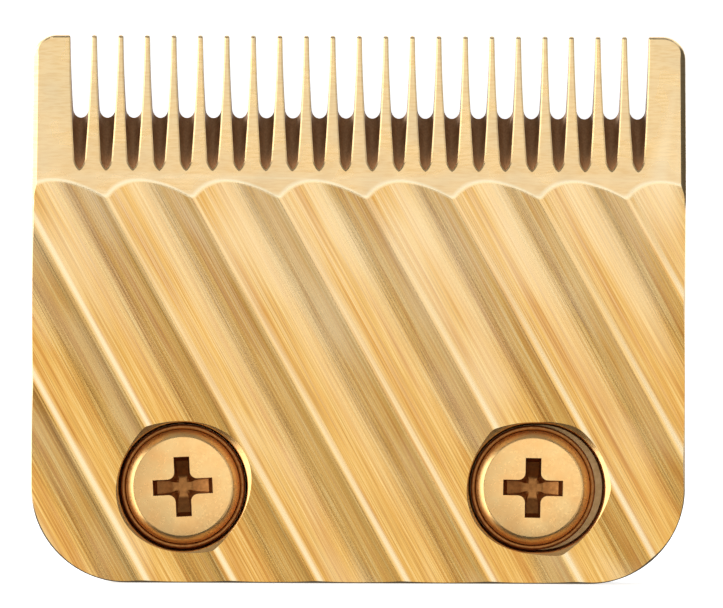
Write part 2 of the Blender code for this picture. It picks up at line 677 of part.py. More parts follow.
def main():
    for obj in list(bpy.data.objects):
        bpy.data.objects.remove(obj)
    gold = material("titanium_gold_steel", (0.80, 0.55, 0.24), 0.3, 1.0)
    screw_gold = material("gold_screw_steel", (0.78, 0.48, 0.18), 0.38, 1.0)
    steel = material("nickel_plated_steel", (0.62, 0.61, 0.58), 0.35, 1.0)
    spring_steel = material("spring_steel", (0.5, 0.5, 0.52), 0.3, 1.0)
    cutter_steel = material("carbon_coated_steel", (0.07, 0.07, 0.08), 0.35, 1.0)
    nylon = material("glass_filled_nylon", (0.03, 0.03, 0.033), 0.6, 0.0)
    acetal = material("white_acetal", (0.82, 0.81, 0.77), 0.45, 0.0)
    brass = material("brass", (0.75, 0.56, 0.25), 0.35, 1.0)

    make_fixed_blade(gold)
    make_carrier(steel)
    make_base(nylon)
    make_cutter(cutter_steel)
    make_yoke(nylon)
    make_rail(acetal)
    make_taper_pin(steel)
    turns = {-1: math.radians(3), 1: math.radians(-1)}
    for side, word in ((-1, "left"), (1, "right")):
        make_clamp_screw(word, side, turns[side], screw_gold)
        x = side * CLAMP_X
        washer_y = COUNTERBORE_FLOOR_Y - FIT - WASHER_THICKNESS
        washer = ((SCREW_R + 0.2, WASHER_R), washer_y, WASHER_THICKNESS)
        make_ring(f"clamp_washer_{word}", x, CLAMP_Z, *washer, screw_gold)
        nut_depth = CARRIER_REAR_Y - CARRIER_FRONT_Y - 2 * FIT
        nut = ((SCREW_R + RUN, NUT_R), CARRIER_FRONT_Y + FIT, nut_depth)
        make_ring(f"clamp_nut_{word}", x, CLAMP_Z, *nut, steel)
        insert_depth = SEAT_Y - BASE_FRONT_Y - 2 * FIT
        insert = ((1.25, INSERT_R), BASE_FRONT_Y + FIT, insert_depth)
        make_ring(f"mount_insert_{word}", side * INSERT_X, INSERT_Z, *insert, brass)
        make_guide_pin(word, side, steel)
        make_spring(word, side, spring_steel)
        make_spring_screw(word, side, steel)
        make_rivet(word, side, steel)


main()
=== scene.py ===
"""The looks of an adjustable hair clipper blade head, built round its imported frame.

Every length in this file is in millimetres, and a mesh is turned to metres as it is made. X runs
across the blade, Z towards the tooth tips and Y from the blade back to the clipper's body.
"""

import math

import bmesh
import bpy
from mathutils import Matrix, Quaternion, Vector


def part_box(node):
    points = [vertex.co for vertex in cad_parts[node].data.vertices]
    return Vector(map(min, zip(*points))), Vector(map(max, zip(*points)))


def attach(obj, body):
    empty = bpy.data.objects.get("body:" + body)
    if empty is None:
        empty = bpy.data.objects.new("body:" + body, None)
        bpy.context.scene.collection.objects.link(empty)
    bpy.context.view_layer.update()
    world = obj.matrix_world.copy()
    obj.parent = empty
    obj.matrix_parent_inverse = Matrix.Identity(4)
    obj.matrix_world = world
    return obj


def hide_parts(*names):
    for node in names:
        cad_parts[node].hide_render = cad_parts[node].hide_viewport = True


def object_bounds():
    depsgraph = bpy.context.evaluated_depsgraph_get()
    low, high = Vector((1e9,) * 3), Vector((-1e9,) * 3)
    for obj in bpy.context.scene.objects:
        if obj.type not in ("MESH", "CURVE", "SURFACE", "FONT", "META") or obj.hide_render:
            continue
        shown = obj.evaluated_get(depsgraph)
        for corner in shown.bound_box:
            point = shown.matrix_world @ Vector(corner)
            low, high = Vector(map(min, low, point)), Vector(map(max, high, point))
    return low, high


bl_info = {
    "name": "Clipper blade head",
    "version": (1, 0, 0),
    "blender": (4, 5, 0),
    "location": "View3D > Sidebar > Blade head",
    "description": "Builds the visible pieces of an adjustable hair clipper blade head",
    "category": "Add Mesh",
}

MM = 0.001

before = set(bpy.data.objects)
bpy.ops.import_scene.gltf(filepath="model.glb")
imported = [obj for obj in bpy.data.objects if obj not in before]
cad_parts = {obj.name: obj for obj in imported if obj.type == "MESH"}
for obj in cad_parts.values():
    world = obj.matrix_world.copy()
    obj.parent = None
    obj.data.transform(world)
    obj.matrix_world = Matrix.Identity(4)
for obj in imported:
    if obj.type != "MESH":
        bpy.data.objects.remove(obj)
cad_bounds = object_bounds()


# ---------------------------------------------------------------------------------------------
# The frame, read in millimetres
# ---------------------------------------------------------------------------------------------


def box_mm(node_name):
    """A node's lowest and highest corners, in millimetres."""
    low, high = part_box(node_name)
    return low / MM, high / MM


def centre_mm(node_name):
    low, high = box_mm(node_name)
    return (low + high) / 2


BLADE_LOW, BLADE_HIGH = box_mm("fixed_blade")
FACE_Y = BLADE_LOW.y  # the lands between the flutes
BACK_Y = BLADE_HIGH.y
TIP_Z = BLADE_HIGH.z
SIDES = ((-1, "left"), (1, "right"))


# ---------------------------------------------------------------------------------------------
# Settings that a user would change
# ---------------------------------------------------------------------------------------------


def length(name, description, default):
    return bpy.props.FloatProperty(
        name=name, description=description, default=default, unit="LENGTH"
    )


def angle(name, description, degrees):
    return bpy.props.FloatProperty(
        name=name, description=description, default=math.radians(degrees), subtype="ANGLE"
    )


def colour(name, description, hex_text):
    return bpy.props.StringProperty(name=name, description=description, default=hex_text)


class BladeSettings(bpy.types.PropertyGroup):
    """The stationary blade's flutes, teeth and edges."""

    flute_angle: angle("Flute angle", "How far the flutes lean from the vertical", 28.9)
    flute_pitch: length("Flute pitch", "Distance from one flute to the next", 5.335 * MM)
    flute_depth: length("Flute depth", "Depth of a flute below the ridges", 0.28 * MM)
    ridge_width: length("Ridge width", "Width of the rounded ridge between two flutes", 0.5 * MM)
    flute_phase: length("Flute phase", "Centre of a flute, measured square to the flutes", -1.40 * MM)
    tip_thickness: length("Tip thickness", "Thickness of the tooth tips", 0.75 * MM)
    tooth_pitch: length("Tooth pitch", "Distance from one tooth to the next", 1.87 * MM)
    tooth_count: bpy.props.IntProperty(name="Teeth", description="Narrow teeth", default=21, min=3)
    coating: colour("Coating", "Colour of the titanium nitride coating", "E4B96C")


class StageSettings(bpy.types.PropertyGroup):
    """The camera, the floor and the studio light."""

    distance: length("Camera distance", "From the camera to the blade's face", 0.62)
    view_width: length("View width", "Width of the view at the blade's face", 50.75 * MM)
    roll: angle("Roll", "Turn of the camera about its own axis", -0.2)
    glow: bpy.props.FloatProperty(name="Glow", description="Brightness of all the lights", default=1.0)


# ---------------------------------------------------------------------------------------------
# Mesh helpers
# ---------------------------------------------------------------------------------------------


def mesh_object(name, bm, materials=()):
    """A bmesh in millimetres, made into an object in metres with its faces pointing out."""
    bmesh.ops.recalc_face_normals(bm, faces=bm.faces)
    bmesh.ops.scale(bm, vec=(MM, MM, MM), verts=bm.verts)
    mesh = bpy.data.meshes.new(name)
    bm.to_mesh(mesh)
    bm.free()
    for finish in materials:
        mesh.materials.append(finish)
    made = bpy.data.objects.new(name, mesh)
    bpy.context.scene.collection.objects.link(made)
    return made


def loft(rings, closed=False, slots=None):
    """Skins a row of rings and caps its two ends, or joins them when the row is closed."""
    bm = bmesh.new()
    made = [[bm.verts.new(point) for point in ring] for ring in rings]
    count = len(rings[0])
    pairs = list(zip(made, made[1:]))
    if closed:
        pairs.append((made[-1], made[0]))
    for step, (low, high) in enumerate(pairs):
        for i in range(count):
            j = (i + 1) % count
            face = bm.faces.new((low[i], low[j], high[j], high[i]))
            face.material_index = slots[step] if slots else 0
    if not closed:
        bm.faces.new(made[0]).material_index = slots[0] if slots else 0
        bm.faces.new(made[-1]).material_index = slots[-1] if slots else 0
    return bm


def flat_ring(outline, y):
    return [Vector((x, y, z)) for x, z in outline]


def stadium(x, z, radius, stretch_x=0.0, stretch_z=0.0, steps=96):
    """A circle pulled out along X or Z by the stretch."""
    points = []
    for i in range(steps):
        turn = 2 * math.pi * (i + 0.5) / steps
        c, s = math.cos(turn), math.sin(turn)
        points.append(
            (
                x + radius * c + math.copysign(stretch_x / 2, c),
                z + radius * s + math.copysign(stretch_z / 2, s),
            )
        )
    return points


def turned(x, z, profile, closed=False, slots=None, **shape):
    """Turns a profile of (radius, y) about the line along Y through (x, z)."""
    return loft([flat_ring(stadium(x, z, r, **shape), y) for r, y in profile], closed, slots)


def arc(cx, cz, radius, start, end, steps):
    """Points on an arc, its angles in degrees."""
    points = []
    for i in range(steps + 1):
        turn = math.radians(start + (end - start) * i / steps)
        points.append((cx + radius * math.cos(turn), cz + radius * math.sin(turn)))
    return points


def cut(target, name, bm, finishes=()):
    """Takes a helper solid away from the target, and removes the helper again.
    The cut faces get the helper's finishes."""
    tool = mesh_object(name, bm, finishes)
    step = target.modifiers.new(name, "BOOLEAN")
    step.operation = "DIFFERENCE"
    step.object = tool
    step.solver = "EXACT"
    step.material_mode = "TRANSFER" if finishes else "INDEX"
    apply_modifiers(target)
    bpy.data.objects.remove(tool)
    return target


def apply_modifiers(target):
    bpy.context.view_layer.update()
    evaluated = target.evaluated_get(bpy.context.evaluated_depsgraph_get())
    old = target.data
    target.data = bpy.data.meshes.new_from_object(evaluated)
    target.modifiers.clear()
    target.data.name = old.name
    bpy.data.meshes.remove(old)
    return target


def shade(target, degrees=28.0):
    """Smooth shading, with edges above the angle kept crisp."""
    target.data.shade_smooth()
    target.data.set_sharp_from_angle(angle=math.radians(degrees))
    even = target.modifiers.new("even shading", "WEIGHTED_NORMAL")
    even.keep_sharp = True
    even.weight = 80
    return target


def finish_piece(piece, body, slot, *nodes):
    """The piece takes the place of the CAD nodes and moves with their body."""
    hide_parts(*nodes)
    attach(piece, body)
    return piece


# ---------------------------------------------------------------------------------------------
# Material helpers
# ---------------------------------------------------------------------------------------------


def linear(hex_text):
    """An sRGB hex value as a linear colour."""
    values = []
    for i in (0, 2, 4):
        level = int(hex_text[i : i + 2], 16) / 255
        values.append(level / 12.92 if level <= 0.04045 else ((level + 0.055) / 1.055) ** 2.4)
    return (*values, 1.0)


def node(tree, kind, links=None, **settings):
    """Adds a node, sets its properties, and links or fills its inputs."""
    made = tree.nodes.new(kind)
    for name, value in settings.items():
        setattr(made, name, value)
    for key, value in (links or {}).items():
        if isinstance(value, bpy.types.NodeSocket):
            tree.links.new(value, made.inputs[key])
        else:
            made.inputs[key].default_value = value
    return made


def new_material(name, roughness, metallic):
    made = bpy.data.materials.new(name)
    made.use_nodes = True
    shader = made.node_tree.nodes["Principled BSDF"]
    shader.inputs["Roughness"].default_value = roughness
    shader.inputs["Metallic"].default_value = metallic
    return made, made.node_tree, shader


def colour_band(tree, factor, *hexes, low=0.3, high=0.7):
    """A colour ramp over the factor, its colours spread evenly from low to high."""
    ramp = node(tree, "ShaderNodeValToRGB", {"Fac": factor})
    elements = ramp.color_ramp.elements
    while len(elements) < len(hexes):
        elements.new(0.5)
    for i, text in enumerate(hexes):
        elements[i].position = low + (high - low) * i / (len(hexes) - 1)
        elements[i].color = linear(text)
    return ramp.outputs["Color"]


def grain(tree, across, along, turn=0.0, detail=4.0, seed=0.0):
    """Noise drawn out into lines. Across and along are its sizes in millimetres, along Z when turn is 0."""
    where = node(tree, "ShaderNodeTexCoord")
    place = node(
        tree,
        "ShaderNodeMapping",
        {
            "Vector": where.outputs["Object"],
            "Location": (seed * MM, seed * MM, 0.0),
            "Rotation": (0.0, turn, 0.0),
            "Scale": (across * MM, across * MM, along * MM),
        },
        vector_type="TEXTURE",
    )
    sockets = {"Vector": place.outputs["Vector"], "Scale": 1.0, "Detail": detail}
    return node(tree, "ShaderNodeTexNoise", sockets).outputs["Fac"]


def speckle(tree, size, detail=3.0):
    """Even noise with features of the given size in millimetres."""
    where = node(tree, "ShaderNodeTexCoord")
    sockets = {"Vector": where.outputs["Object"], "Scale": 1 / (size * MM), "Detail": detail}
    return node(tree, "ShaderNodeTexNoise", sockets).outputs["Fac"]


def height_share(tree, low, high):
    """How far up a point is between two heights in millimetres, from 0 to 1."""
    place = node(tree, "ShaderNodeSeparateXYZ", {0: node(tree, "ShaderNodeTexCoord").outputs["Object"]})
    return between(tree, place.outputs["Z"], low * MM, high * MM, 0.0, 1.0)


def with_painted_highlight(tree, base, highlight_hex):
    """The base colour, paler where a highlight is painted on the blade."""
    painted_highlight = node(tree, "ShaderNodeAttribute", attribute_name="painted_highlight").outputs["Fac"]
    return blend_colour(tree, painted_highlight, base, linear(highlight_hex))


def blend_colour(tree, factor, a, b, blend="MIX"):
    mix = node(tree, "ShaderNodeMix", {0: factor, 6: a, 7: b}, data_type="RGBA", blend_type=blend)
    return mix.outputs[2]


def between(tree, value, start, end, low, high):
    """Carries a value that runs from start to end over to one that runs from low to high."""
    sockets = {"Value": value, "From Min": start, "From Max": end, "To Min": low, "To Max": high}
    return node(tree, "ShaderNodeMapRange", sockets).outputs["Result"]


def bumps(tree, shader, height, depth, strength=1.0):
    """Depth is the real height of the pattern in millimetres."""
    bump = node(tree, "ShaderNodeBump", {"Height": height, "Distance": depth * MM, "Strength": strength})
    tree.links.new(bump.outputs["Normal"], shader.inputs["Normal"])


# ---------------------------------------------------------------------------------------------
# Materials
# ---------------------------------------------------------------------------------------------


def ground_titanium_nitride(settings):
    """Hardened steel, fluted by a grinding wheel and coated in titanium nitride.
    The wheel's lines run along the flutes, and a painted highlight makes the scalloped edge and a line
    beside each ridge paler."""
    made, tree, shader = new_material("titanium nitride on flute-ground steel", 0.2, 1.0)
    turn = -settings.flute_angle
    fine = grain(tree, 0.1, 7.0, turn, 5.0)
    broad = grain(tree, 0.42, 16.0, turn, 3.0, seed=40.0)
    rubbed = grain(tree, 4.0, 14.0, turn, 2.0, seed=90.0)
    lines = colour_band(tree, fine, "C89A58", settings.coating, "F8DA9C")
    bands = colour_band(tree, broad, "E4BC84", "FFEECA", "FFF8E6", low=0.32, high=0.68)
    ground = blend_colour(tree, 0.75, lines, bands, "MULTIPLY")
    dusty = blend_colour(tree, between(tree, rubbed, 0.5, 0.7, 0.0, 0.4), ground, linear("F6DFB4"))
    # Paler where the painted highlight lies, along the scalloped edge and beside each ridge
    tree.links.new(with_painted_highlight(tree, dusty, "FFE9BC"), shader.inputs["Base Color"])
    tree.links.new(between(tree, fine, 0.3, 0.7, 0.14, 0.26), shader.inputs["Roughness"])
    bumps(tree, shader, fine, 0.01, 0.35)
    return made


def satin_titanium_nitride():
    """The same coating on the smooth tooth land: an even satin with faint grinding lines.
    It is painted paler towards the tips as a highlight, and palest along the scalloped edge, where the
    painted highlight lies."""
    made, tree, shader = new_material("titanium nitride on satin-ground steel", 0.28, 1.0)
    fine = grain(tree, 0.9, 0.14)
    patch = speckle(tree, 2.6, 2.0)
    # Paler towards the tips: a painted highlight on the land
    height = height_share(tree, 23.5, 31.0)
    land_low = colour_band(tree, patch, "F5D095", "FBDAA5")
    land_tips_highlit = colour_band(tree, patch, "F8D79D", "FEE2B0")
    base = blend_colour(tree, height, land_low, land_tips_highlit)
    lines = colour_band(tree, fine, "F0E2CA", "FFFFFF", low=0.35, high=0.6)
    ground = blend_colour(tree, 0.5, base, lines, "MULTIPLY")
    # Palest where the painted highlight lies along the scalloped edge
    tree.links.new(with_painted_highlight(tree, ground, "FFECC4"), shader.inputs["Base Color"])
    tree.links.new(between(tree, patch, 0.3, 0.7, 0.24, 0.34), shader.inputs["Roughness"])
    bumps(tree, shader, fine, 0.004, 0.4)
    return made


def slot_and_bore_shade_titanium_nitride():
    """The tooth slots in the coarse sawn steel: the coating is painted dark brown as their shade, and
    lighter at the foot of each slot as a painted highlight."""
    made, tree, shader = new_material("titanium nitride, painted shade in slots and bores", 0.55, 0.45)
    lines = grain(tree, 0.12, 3.0)
    # Painted highlight at the foot of each slot, painted shade on the walls above
    height = height_share(tree, 25.7, 27.0)
    foot = colour_band(tree, lines, "C58750", "DB9C66")
    wall = colour_band(tree, lines, "A27A52", "BC9268")
    tree.links.new(blend_colour(tree, height, foot, wall), shader.inputs["Base Color"])
    bumps(tree, shader, lines, 0.01, 0.4)
    return made


def blasted_titanium_nitride():
    """Screw heads: blasted before coating, so they are a shade redder and evenly satin."""
    made, tree, shader = new_material("titanium nitride on blasted steel", 0.3, 1.0)
    grit = speckle(tree, 0.18)
    patch = speckle(tree, 1.6)
    base = colour_band(tree, patch, "FFC880", "FFD692")
    tree.links.new(base, shader.inputs["Base Color"])
    tree.links.new(between(tree, grit, 0.3, 0.7, 0.26, 0.36), shader.inputs["Roughness"])
    bumps(tree, shader, grit, 0.004, 0.15)
    return made


def bore_floor_shade_titanium_nitride():
    """The counterbores' floors: a browner coating, the painted shade of the deep gap round the screw heads.
    """
    made, tree, shader = new_material("titanium nitride, painted shade on counterbore floors", 0.42, 1.0)
    grit = speckle(tree, 0.3)
    # Browner than the screw heads: painted shade
    tree.links.new(colour_band(tree, grit, "C2A06C", "D6B482"), shader.inputs["Base Color"])
    bumps(tree, shader, grit, 0.004, 0.3)
    return made


def recess_shade_titanium_nitride():
    """The cross recesses and washers: painted brown, the shade that falls in the recesses and in the gap
    round the screw heads.
    """
    made, tree, shader = new_material("titanium nitride, painted shade in recesses and washers", 0.42, 1.0)
    grit = speckle(tree, 0.25)
    # Brown: painted shade
    tree.links.new(colour_band(tree, grit, "A06A3A", "C4884C"), shader.inputs["Base Color"])
    bumps(tree, shader, grit, 0.01, 0.5)
    return made


def plated_steel():
    """Stamped steel under bright nickel: soft reflections with faint rolling lines."""
    made, tree, shader = new_material("nickel plate on stamped steel", 0.3, 1.0)
    lines = grain(tree, 0.25, 8.0)
    tree.links.new(colour_band(tree, lines, "B9B4A9", "D0CCC2"), shader.inputs["Base Color"])
    tree.links.new(between(tree, lines, 0.3, 0.7, 0.24, 0.36), shader.inputs["Roughness"])
    bumps(tree, shader, lines, 0.004, 0.4)
    return made


def rolled_spring_steel():
    """Blued spring strip, rolled bright: long straight rolling lines."""
    made, tree, shader = new_material("rolled spring steel", 0.26, 1.0)
    lines = grain(tree, 0.12, 6.0)
    tree.links.new(colour_band(tree, lines, "8F9298", "B4B6BA"), shader.inputs["Base Color"])
    tree.links.new(between(tree, lines, 0.3, 0.7, 0.2, 0.32), shader.inputs["Roughness"])
    return made


def coated_cutter_steel():
    """Ground cutter steel under a black carbon coating: dark, with the grinding lines showing."""
    made, tree, shader = new_material("carbon coat on ground steel", 0.3, 1.0)
    lines = grain(tree, 5.0, 0.1)
    tree.links.new(colour_band(tree, lines, "3A3A3E", "5C5C60"), shader.inputs["Base Color"])
    tree.links.new(between(tree, lines, 0.3, 0.7, 0.26, 0.42), shader.inputs["Roughness"])
    bumps(tree, shader, lines, 0.004, 0.4)
    return made


def glass_filled_nylon():
    """Black nylon with glass fibre, moulded against spark-eroded steel: a fine dull grain."""
    made, tree, shader = new_material("glass-filled nylon, moulded", 0.5, 0.0)
    grit = speckle(tree, 0.22)
    tree.links.new(colour_band(tree, grit, "17181A", "242527"), shader.inputs["Base Color"])
    tree.links.new(between(tree, grit, 0.3, 0.7, 0.42, 0.6), shader.inputs["Roughness"])
    shader.inputs["IOR"].default_value = 1.53
    bumps(tree, shader, grit, 0.02, 0.5)
    return made


def moulded_acetal():
    """White acetal, moulded: waxy and slightly see-through at its thin edges."""
    made, tree, shader = new_material("acetal, moulded", 0.4, 0.0)
    grit = speckle(tree, 0.4)
    tree.links.new(colour_band(tree, grit, "E4E1D8", "EFEDE6"), shader.inputs["Base Color"])
    tree.links.new(between(tree, grit, 0.3, 0.7, 0.34, 0.46), shader.inputs["Roughness"])
    shader.inputs["IOR"].default_value = 1.48
    return made


def turned_brass():
    """Free-cutting brass, turned: fine rings and a warm yellow reflection."""
    made, tree, shader = new_material("turned brass", 0.26, 1.0)
    grit = speckle(tree, 0.3)
    tree.links.new(colour_band(tree, grit, "D9B25C", "E6C473"), shader.inputs["Base Color"])
    tree.links.new(between(tree, grit, 0.3, 0.7, 0.22, 0.34), shader.inputs["Roughness"])
    return made


# ---------------------------------------------------------------------------------------------
# The stationary blade
# ---------------------------------------------------------------------------------------------

BOTTOM_CORNER_R = 6.75
TOP_CORNER_R = 1.6
GRINDING_STOCK = 0.15
# The tumbled rim: how far it runs in over the face and how deep it goes, beside the flutes, beside
# the tooth land, and over the tips
RIM_BY_FLUTES = (0.17, 0.8)
RIM_BY_LAND = (0.38, 0.45)
RIM_OVER_TIPS = (0.2, 0.4)
RIM_POWER = 1.6
RIM_STEPS = 8
ON_FACE = 0.002  # a facet this near to the finished face belongs to it
BACK_ROUND = 0.1
RAMP_START_Z = 23.9  # where the tooth land starts to slope back
FOLD_STEPS = (-1.5, -1.0, -0.6, -0.3, 0.0, 0.3, 0.6)  # points on the straight sides, about the fold
FLUTES = range(-6, 9)  # enough to cross the whole blade, counted from the middle one
FLUTE_STEPS = 34
RIDGE_STEPS = 4
LEVELS_LOW = RAMP_START_Z - 0.3  # fine levels follow the scalloped edge from here
LEVELS_RISE = 1.8
LEVEL_STEP = 0.06
RUN_OUT = 8.0  # how far the grinding runs past the blade, below and above
TUMBLED_EDGE = 0.035
HIGHLIGHT_REACH = 0.075
HIGHLIGHT_RIDGE = 0.31  # the painted highlight line's distance from a ridge

# The edges of a slot, on the face and on the back. Each has the height of its root, the rise of its
# rounded end, half its width at the top of that rise, two powers for the end's shape (a point or
# half an ellipse), and the taper and the curvature of the sides above.
SLOT_ON_FACE = (25.8, 0.6, 0.375, 1.0, 0.65, 0.0735, 0.0033)
SLOT_ON_BACK = (29.47, 0.7, 0.56, 2.0, 0.5, 0.065, 0.005)
SLOT_ROUND_STEPS = 8
SLOT_SIDE_STEPS = 7
SLOT_LAYERS = (0.0, 0.25, 0.5, 0.75, 1.0, 1.3)  # from the face to just past the back
TIP_ROUND_STEPS = 5
TIP_ROUND_TURN = 72
TOOTH_CHAMFER = 0.1
TOOTH_CHAMFER_DEPTH = 0.05


def smooth(t):
    t = min(1.0, max(0.0, t))
    return t * t * (3 - 2 * t)


class Blade:
    """The blade's shape as functions, in millimetres."""

    def __init__(self, settings):
        self.pitch = settings.flute_pitch / MM
        self.ridge = settings.ridge_width / MM / 2
        self.half = self.pitch / 2 - self.ridge
        self.phase = settings.flute_phase / MM
        self.angle = settings.flute_angle
        self.tooth_pitch = settings.tooth_pitch / MM
        self.tooth_count = settings.tooth_count
        # a ridge's rounded top takes up the same share of the depth as it does of the half pitch
        depth = settings.flute_depth / MM
        self.crown = depth * self.ridge / (self.half + self.ridge)
        self.hollow = depth - self.crown
        self.radius = (self.half**2 + self.hollow**2) / (2 * self.hollow)
        fall = BACK_Y - FACE_Y - settings.tip_thickness / MM
        self.ramp_slope = fall / (TIP_Z - RAMP_START_Z)

    def ramp_y(self, z):
        return FACE_Y + (z - RAMP_START_Z) * self.ramp_slope

    def across(self, x, z):
        """Distance from the blade's centre line, measured square to the flutes."""
        return x * math.cos(self.angle) + z * math.sin(self.angle)

    def flute_offset(self, across):
        """Distance from the middle of the nearest flute."""
        return (across - self.phase + self.pitch / 2) % self.pitch - self.pitch / 2

    def flute_y(self, across):
        """The fluted face: hollow flutes with a rounded ridge between each two."""
        offset = self.flute_offset(across)
        if abs(offset) > self.half:
            to_ridge = self.pitch / 2 - abs(offset)
            return FACE_Y + self.crown * (to_ridge / self.ridge) ** 2
        drop = self.radius - math.sqrt(self.radius**2 - offset**2)
        return FACE_Y + self.crown + self.hollow - drop

    def face_y(self, across, z):
        """The finished face: flutes and ramp, with a tumbled edge where they meet."""
        flute, ramp = self.flute_y(across), self.ramp_y(z)
        gap = abs(flute - ramp) / TUMBLED_EDGE
        return max(flute, ramp) + (TUMBLED_EDGE / 4 * (1 - gap) ** 2 if gap < 1 else 0.0)

    def on_face(self, point):
        """Whether a point lies on the finished face."""
        across = self.across(point.x, point.z)
        off = abs(point.y - self.face_y(across, point.z))
        folded = abs(self.flute_y(across) - self.ramp_y(point.z)) < 2 * TUMBLED_EDGE
        return off < (0.02 if folded else ON_FACE)

    def painted_highlight(self, x, z):
        """How strong the painted highlight is: 1 on the scalloped edge, less on the ridges."""
        across = self.across(x, z)
        edge = 1 - abs(self.flute_y(across) - self.ramp_y(z)) / HIGHLIGHT_REACH
        to_ridge = self.flute_offset(across) + self.pitch / 2
        ridge = 1 - abs(to_ridge - HIGHLIGHT_RIDGE) / HIGHLIGHT_RIDGE
        return smooth(edge) if z > RAMP_START_Z - 0.4 else smooth(ridge)


def blade_outline():
    """The blade's outline with each point's outward normal, and where its right side meets the ramp."""
    half, bottom, top = BLADE_HIGH.x, BLADE_LOW.z, TIP_Z
    low_corner = arc(0.0, 0.0, 1.0, -90, 0, 28)
    high_corner = arc(0.0, 0.0, 1.0, 0, 90, 12)
    right = []
    for nx, nz in low_corner:
        cx, cz = half - BOTTOM_CORNER_R, bottom + BOTTOM_CORNER_R
        right.append((cx + BOTTOM_CORNER_R * nx, cz + BOTTOM_CORNER_R * nz, nx, nz))
    for step in FOLD_STEPS:
        right.append((half, RAMP_START_Z + step, 1.0, 0.0))
    fold = len(right) - len(FOLD_STEPS) + FOLD_STEPS.index(0.0)
    for nx, nz in high_corner:
        cx, cz = half - TOP_CORNER_R, top - TOP_CORNER_R
        right.append((cx + TOP_CORNER_R * nx, cz + TOP_CORNER_R * nz, nx, nz))
    return right + [(-x, z, -nx, nz) for x, z, nx, nz in reversed(right)], fold


def rim_size(z, upward):
    """How far the rim runs in and how deep it goes, at a height and for how far it faces up."""
    sizes = []
    for by_flutes, by_land, over_tips in zip(RIM_BY_FLUTES, RIM_BY_LAND, RIM_OVER_TIPS):
        beside = by_flutes + (by_land - by_flutes) * smooth((z - RAMP_START_Z + 1.3) / 1.6)
        sizes.append(beside + (over_tips - beside) * smooth(upward * 1.6))
    return sizes


def blade_blank(blade, finishes):
    """The blank: a plate with a rounded rim all round its front and a lighter one round its back."""
    outline, fold = blade_outline()
    rings = []
    for share, depth in ((1.0, 0.0), (0.3, 0.3), (0.0, 1.0)):
        inset, y = BACK_ROUND * share, BACK_Y - BACK_ROUND * depth
        rings.append([Vector((x - inset * nx, y, z - inset * nz)) for x, z, nx, nz in outline])
    for i in range(RIM_STEPS + 1):
        t = i / RIM_STEPS
        ring = []
        for x, z, nx, nz in outline:
            run_in, depth = rim_size(z, nz)
            inset = run_in * t**RIM_POWER
            px, pz = x - inset * nx, z - inset * nz
            y = max(FACE_Y, blade.ramp_y(pz)) + depth * (1 - t)
            ring.append(Vector((px, y, pz)))
        rings.append(ring)
    bm = bmesh.new()
    made = [[bm.verts.new(point) for point in ring] for ring in rings]
    count = len(outline)
    for low, high in zip(made, made[1:]):
        for i in range(count):
            j = (i + 1) % count
            bm.faces.new((low[i], low[j], high[j], high[i]))
    bm.faces.new(made[0])
    # the front is raised a little above the lands, so that the grinding takes a clean cut
    raised = [bm.verts.new(v.co + Vector((0, -GRINDING_STOCK, 0))) for v in made[-1]]
    for i in range(count):
        j = (i + 1) % count
        bm.faces.new((made[-1][i], made[-1][j], raised[j], raised[i]))
    mirror_fold = count - 1 - fold
    bm.faces.new(raised[fold : mirror_fold + 1])
    bm.faces.new(raised[: fold + 1] + raised[mirror_fold:])
    return mesh_object("stationary_blade", bm, finishes)


def face_cutter(blade):
    """Everything in front of the finished face, as one solid."""
    across = []
    for k in FLUTES:
        centre = blade.phase + k * blade.pitch
        ridge = [blade.ridge * i / RIDGE_STEPS for i in range(RIDGE_STEPS)]
        across += [centre - blade.pitch / 2 + step for step in ridge]
        across += [centre + blade.half * (2 * i / FLUTE_STEPS - 1) for i in range(FLUTE_STEPS + 1)]
        across += [centre + blade.half + step for step in ridge[1:]]
    levels = [BLADE_LOW.z - RUN_OUT]
    levels += [LEVELS_LOW + LEVEL_STEP * i for i in range(round(LEVELS_RISE / LEVEL_STEP) + 1)]
    levels += [TIP_Z + RUN_OUT]
    c, s = math.cos(blade.angle), math.sin(blade.angle)
    bm = bmesh.new()
    grid = []
    for z in levels:
        row = []
        for u in across:
            row.append(bm.verts.new(((u - z * s) / c, blade.face_y(u, z), z)))
        grid.append(row)
    front_y = FACE_Y - 4.0
    front = [[bm.verts.new((v.co.x, front_y, v.co.z)) for v in row] for row in (grid[0], grid[-1])]
    for low, high, z_low, z_high in zip(grid, grid[1:], levels, levels[1:]):
        for i in range(len(across) - 1):
            face = bm.faces.new((low[i], low[i + 1], high[i + 1], high[i]))
            u = (across[i] + across[i + 1]) / 2
            on_land = blade.ramp_y((z_low + z_high) / 2) > blade.flute_y(u)
            face.material_index = 1 if on_land else 0
    for edge, row in ((front[0], grid[0]), (front[1], grid[-1])):
        for i in range(len(across) - 1):
            bm.faces.new((edge[i], edge[i + 1], row[i + 1], row[i]))
    for i in range(len(across) - 1):
        bm.faces.new((front[0][i], front[0][i + 1], front[1][i + 1], front[1][i]))
    for end in (0, -1):
        bm.faces.new([row[end] for row in grid] + [front[1][end], front[0][end]])
    return bm


